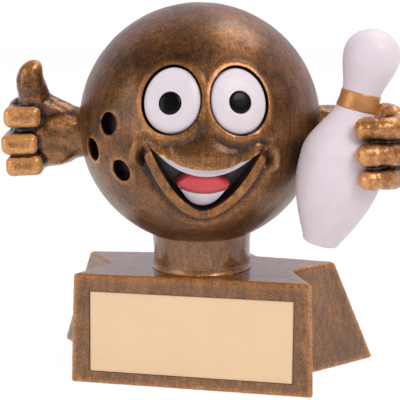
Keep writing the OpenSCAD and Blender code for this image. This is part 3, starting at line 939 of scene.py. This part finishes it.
def cushion(name, half_wide, half_high, top, floor, drop, place, egg=0.04, centre=(0, 0), steps=26):
    """An oval disc on the ball: face at top, edge rolled down by drop, back at floor."""
    profile = [(0.5, floor), (0.97, floor), (1.0, floor + 0.3), (1.0, top - drop - 0.2)]
    for step in range(1, steps):
        ring = math.cos(math.pi / 2 * (step / steps) ** 1.15)
        profile.append((ring, top - drop * (1 - (1 - ring ** 5) ** 0.5)))
    obj = turned(name, profile, segments=96)
    rows = points(obj)
    x, y, z = rows.T
    face = np.clip((z - floor) / 1.0, 0, 1)
    wide = half_wide * x * (1 - egg * y) + centre[0]
    high = half_high * y + centre[1]
    sag = BALL_R - np.sqrt(BALL_R ** 2 - wide ** 2 - high ** 2)
    set_points(obj, np.stack([wide, high, z - face * sag], axis=1))
    return obj, on_ball(*place)


for side, place, spot in (("left", EYE_PLACES[0], (-0.1, -0.95)), ("right", EYE_PLACES[1], (-0.1, -0.55))):
    white, carry = cushion(f"{side}_eye", EYE_HW - 0.5, EYE_HH - 0.55, BALL_R + 0.25, BALL_R - 3.5, 0.95,
                           place)
    rows = points(white)
    away = np.hypot(rows[:, 0] - spot[0], rows[:, 1] - spot[1]) - BLACK_R
    rows[:, 2] -= 0.16 * np.exp(-((away - 0.2) / 0.28) ** 2) * (rows[:, 2] > BALL_R - 1.4)
    set_points(white, rows)
    white.data.transform(carry)
    carve(white, prism([(spot[0] + a, spot[1] + b) for a, b in oval(BLACK_R, BLACK_R, 48, 0.0)],
                       [BALL_R - 1.4, BALL_R + 2], carry))
    finish_piece(white, white_enamel, "white_enamel", f"{side}_eye_white")
    black, carry = cushion(f"{side}_pupil_dot", BLACK_R - 0.04, BLACK_R - 0.04, BALL_R + 0.42, BALL_R - 1.35, 0.5,
                           place, egg=0.0, centre=spot, steps=14)
    black.data.transform(carry)
    finish_piece(black, black_enamel, "black_enamel", f"{side}_pupil")

# %% [markdown]
# ## Mouth
#
# A grid is laid between an upper and a lower edge, bent to the ball's curve, and extruded
# backwards into a slab. Upper teeth, tongue and lower teeth are made so, each standing a
# little further back than the last. The dark lining behind them is a flat column on the
# mouth's outline.

# %% Mouth pieces
def slab(name, middle, half_wide, upper, lower, front, deep, roll=0.25, columns=56, rows_up=9):
    """A slab in the mouth between two edges, its front on a ball of the front's radius."""
    bpy.ops.object.select_all(action="DESELECT")
    bpy.ops.mesh.primitive_grid_add(x_subdivisions=columns, y_subdivisions=rows_up, size=2)
    obj = new_piece(name)
    x, y, _ = points(obj).T
    across = middle + half_wide * np.sin(x * math.pi / 2)
    high = np.array([upper(a - middle) for a in across])
    low = np.array([lower(a - middle) for a in across])
    tall = low + (high - low) * (1 - np.cos((y + 1) * math.pi / 2)) / 2
    edge = np.minimum(tall - low, high - tall)
    rolled = roll * np.clip(1 - edge / roll, 0, 1) ** 2
    out = np.sqrt(front ** 2 - across ** 2 - tall ** 2) - rolled
    set_points(obj, np.stack([across, tall, out], axis=1))
    bpy.ops.object.mode_set(mode="EDIT")
    bpy.ops.mesh.select_all(action="SELECT")
    bpy.ops.mesh.extrude_region_move(TRANSFORM_OT_translate={"value": (0, 0, -deep)})
    bpy.ops.object.mode_set(mode="OBJECT")
    obj.data.transform(on_ball(*MOUTH_PLACE))
    return outward(obj)


def teeth_edge(x):
    """Lower edge of the upper teeth."""
    return -0.25 + 3.7 * (abs(x) / 10.3) ** 2


def tongue_top(x):
    """Upper edge of the tongue."""
    return -0.35 - 2.3 * (max(0.0, abs(x) - 2.6) / 3.5) ** 1.25


def tongue_foot(x):
    """Lower edge of the tongue."""
    return -2.7 - 2.3 * math.sqrt(max(0.0, 1 - (x / 6.1) ** 2))


def teeth_foot(x):
    """Lower edge of the lower teeth."""
    return -8.55 + 5.6 * (abs(x) / 5.7) ** 2.3


lining = prism(smile(-0.08), [BALL_R - 5.8, BALL_R - 4.8], on_ball(*MOUTH_PLACE))
lining = join("mouth_back", [lining])
finish_piece(lining, mouth_enamel, "dark_enamel", "mouth_lining")
bite = slab("teeth_above", 0.0, 10.5, lambda x: upper_lip(x) - 0.12, teeth_edge, BALL_R - 0.9, 3.2)
finish_piece(bite, white_enamel, "white_enamel", "upper_teeth", angle=60)
lick = slab("tongue_tip", -0.2, 6.05, tongue_top, tongue_foot, BALL_R - 1.25, 3.0, roll=0.8)
finish_piece(lick, tongue_enamel, "pink_enamel", "tongue", angle=60)
chew = slab("teeth_below", -0.2, 5.65, lambda x: tongue_foot(x) - 0.06, teeth_foot, BALL_R - 1.5, 2.6)
finish_piece(chew, white_enamel, "white_enamel", "lower_teeth", angle=60)

# %% [markdown]
# ## Hands
#
# The hands are sculpted like clay: soft blocks for the fingers, strings of small balls for
# the thumb and the palm, all fused into one skin by a voxel remesh and then relaxed. A
# remesh welds what touches and keeps what stands apart, so the grooves between the fingers
# come from simply leaving a gap. Each wrist has a flat end and sits in its pocket in the ball.

# %% Thumb-up hand, drawn with +X along the arm and +Y towards its front
WRIST_R = 6.25


def arm_place(angle):
    """The matrix of an arm: +X runs outwards from the ball."""
    return Matrix.Translation(ARM_AT) @ Matrix.Rotation(math.radians(angle), 4, "Z")


def rod(radius, start, end, place=Matrix.Identity(4)):
    """A round rod along +X."""
    return prism(oval(radius, radius, 64, 0.0), [start, end], place @ Matrix.Rotation(math.pi / 2, 4, "Y"))


lumps = [rod(WRIST_R, ARM_SEAT - 1, 31)]
lumps.append(block((12.5, 9.8, 13.8), (40.2, -0.4, -1.0), rounding=3.4))
lumps += string_of_beads([(30.0, 0, 0, 6.25), (34.0, 0.2, -0.7, 6.1), (38.0, 0.2, -1.2, 5.9)], 8)
lumps.append(bead(3.6, (33.5, 3.4, 2.0), (1.6, 0.8, 0.8)))
lumps.append(bead(4.2, (36.2, 2.2, -3.9), (1.25, 0.9, 1.0)))
lumps += string_of_beads([(41.3, 0.6, 5.5, 4.0), (41.0, 1.0, 9.0, 3.9), (41.75, 1.2, 12.3, 3.6),
                          (41.6, 1.5, 14.6, 3.0), (40.7, 1.7, 16.0, 2.2)], 18)
lumps += string_of_beads([(38.6, 0.2, 5.9, 4.0), (35.4, 0, 4.1, 4.2), (31.6, 0, 1.9, 4.4)], 8)
lumps += string_of_beads([(39.0, 0.5, -4.3, 4.3), (35.0, 0, -3.9, 4.3), (32.6, 0, -2.2, 4.4)], 6)
palm = melt("palm", lumps, 0.36, 14)
lumps = [palm]
lumps.append(block((8.9, 13.4, 5.1), (43.6, 1.75, 4.45), (0, 0, 2), rounding=1.7))
lumps.append(block((8.8, 13.6, 5.0), (44.55, 1.75, -2.15), (0, 0, 3), rounding=1.7))
lumps.append(block((9.1, 13.0, 5.0), (43.3, 1.55, -7.5), (0, 2, 0), rounding=1.8))
lumps.append(bead(3.5, (44.4, -1.0, 5.4)))
lumps.append(bead(3.2, (45.4, -2.6, -2.2), (1.1, 1, 1.2)))
fist = melt("thumb_up_fist", lumps, 0.24, 5)
dented(fist, 0.10, 1.8, 3.0)
cut_back = block((8, 16, 16), (ARM_SEAT + 0.05 - 4, 0, 0), rounding=0.05)
carve(fist, cut_back, rod(1.55, ARM_SEAT - 1, ARM_SEAT + 6.3))
wear_marks(fist, fine=2, broad=14, gain=0.8)
x, y, z = points(fist).T
# Painted light and shade: the front faces of the fingers are lifted towards the gold end as painted light, and the
# thumb is lowered towards the dark end as painted shade, less so near its tip.
front = np.clip((y - 5.5) / 2, 0, 1) * np.clip((x - 38) / 2, 0, 1) * np.clip((8.5 - z) / 2, 0, 1)
thumb = np.clip((z - 7.5) / 3, 0, 1)
tint_light_and_shade(fist, 0.22 * front - 0.28 * thumb * np.clip((18.5 - z) / 6, 0.3, 1))
fist.data.transform(arm_place(194))
finish_piece(fist, hand_bronze, "rubbed_bronze", "thumb_up_hand", angle=60)

# %% Pin hand: three fingers wrapped round the pin
belly_at = pin_foot + pin_axis * BELLY_LOW


def beside_pin(z, more, angle):
    """A spot at height z, out from the pin's skin by more, at an angle round its axis."""
    t = BELLY_LOW + (z - belly_at.z) / math.cos(PIN_LEAN)
    out = pin_radius(t) + more
    x = belly_at.x + (z - belly_at.z) * math.tan(PIN_LEAN)
    a = math.radians(angle)
    return (x + out * math.cos(a), belly_at.y + out * math.sin(a), z)


# height, tip angle, knuckle angle, how far the knuckle stands out, thickness
FINGERS = ((66.9, -67, -37, 4.1, 2.7), (61.4, -62.5, -34, 2.8, 2.65), (55.7, -53, -28, 2.5, 2.4))
lumps = [rod(WRIST_R, ARM_SEAT + 0.05, 35, arm_place(14))]
wrist_end = arm_place(14) @ Vector((36, -0.5, 0))
for row, (z, tip, knuckle, stand, thick) in enumerate(FINGERS):
    start = (wrist_end.x, wrist_end.y, wrist_end.z + 2.2 - 2.2 * row, 3.9)
    across = [start, (*beside_pin(z - 0.8, 3.9, 84), 3.9), (*beside_pin(z - 0.8, 3.4, 48), 3.4)]
    lumps += string_of_beads(across, 12)
    finger = [(*beside_pin(z - 0.8, 3.2, 48), 3.2), (*beside_pin(z - 0.6, 3.1, 18), 3.0),
              (*beside_pin(z - 0.4, (stand + 3.1) / 2, knuckle + 22), thick + 0.3),
              (*beside_pin(z - 0.1, stand, knuckle), thick + 0.1),
              (*beside_pin(z, (stand + 2) / 2, (knuckle + tip) / 2), thick - 0.2),
              (*beside_pin(z, 2.1, tip + 7), thick), (*beside_pin(z, 1.9, tip), thick - 0.1)]
    lumps += string_of_beads(finger, 30)
# Two thin recessed webs fill the gaps between the fingers; they are darkened below, partly as the hand's own dark
# paint and partly as painted shade in the gaps.
for z, more in ((64.1, 1.6), (58.4, 1.4)):
    web = [(*beside_pin(z, more + 1, 48), 1.9), (*beside_pin(z, more, 0), 1.7), (*beside_pin(z, more - 0.2, -50), 1.3)]
    lumps += string_of_beads(web, 26)
lumps += string_of_beads([(43.5, -12.5, 66.4, 4.4), (46.6, -17.4, 68.5, 3.6), (48.8, -19.8, 67.2, 3.4)], 10)
grip = melt("pin_grip", lumps, 0.24, 4)
dented(grip, 0.13, 1.7, 7.0)
grown = [(radius + 0.1, height) for radius, height in pin_outline]
grown = [(grown[0][0], -0.1)] + grown[1:] + [(0.4, PIN_H + 0.1)]
pin_cutter = turned("pin room", grown, segments=96)
pin_cutter.data.transform(pin_place)
ball_cutter = bead(BALL_R + 0.25, BALL_AT)
wrist_keep = rod(WRIST_R + 0.05, ARM_SEAT, 40, arm_place(14))
carve(ball_cutter, wrist_keep)
cut_back = block((8, 16, 16), (ARM_SEAT + 0.05 - 4, 0, 0), rounding=0.05)
cut_back.data.transform(arm_place(14))
carve(grip, pin_cutter, ball_cutter, cut_back, rod(1.55, ARM_SEAT - 1, ARM_SEAT + 6.3, arm_place(14)))
wear_marks(grip, fine=2, broad=14, gain=0.9)
x, y, z = points(grip).T
# The webs between the fingers are darkened: partly the hand's own dark paint, partly painted shade cast by the
# fingers.
tint_light_and_shade(grip, -0.5 * np.exp(-((z - 63.95) / 0.6) ** 2) - 0.5 * np.exp(-((z - 58.25) / 0.6) ** 2))
finish_piece(grip, hand_bronze, "rubbed_bronze", "pin_hand", angle=60)
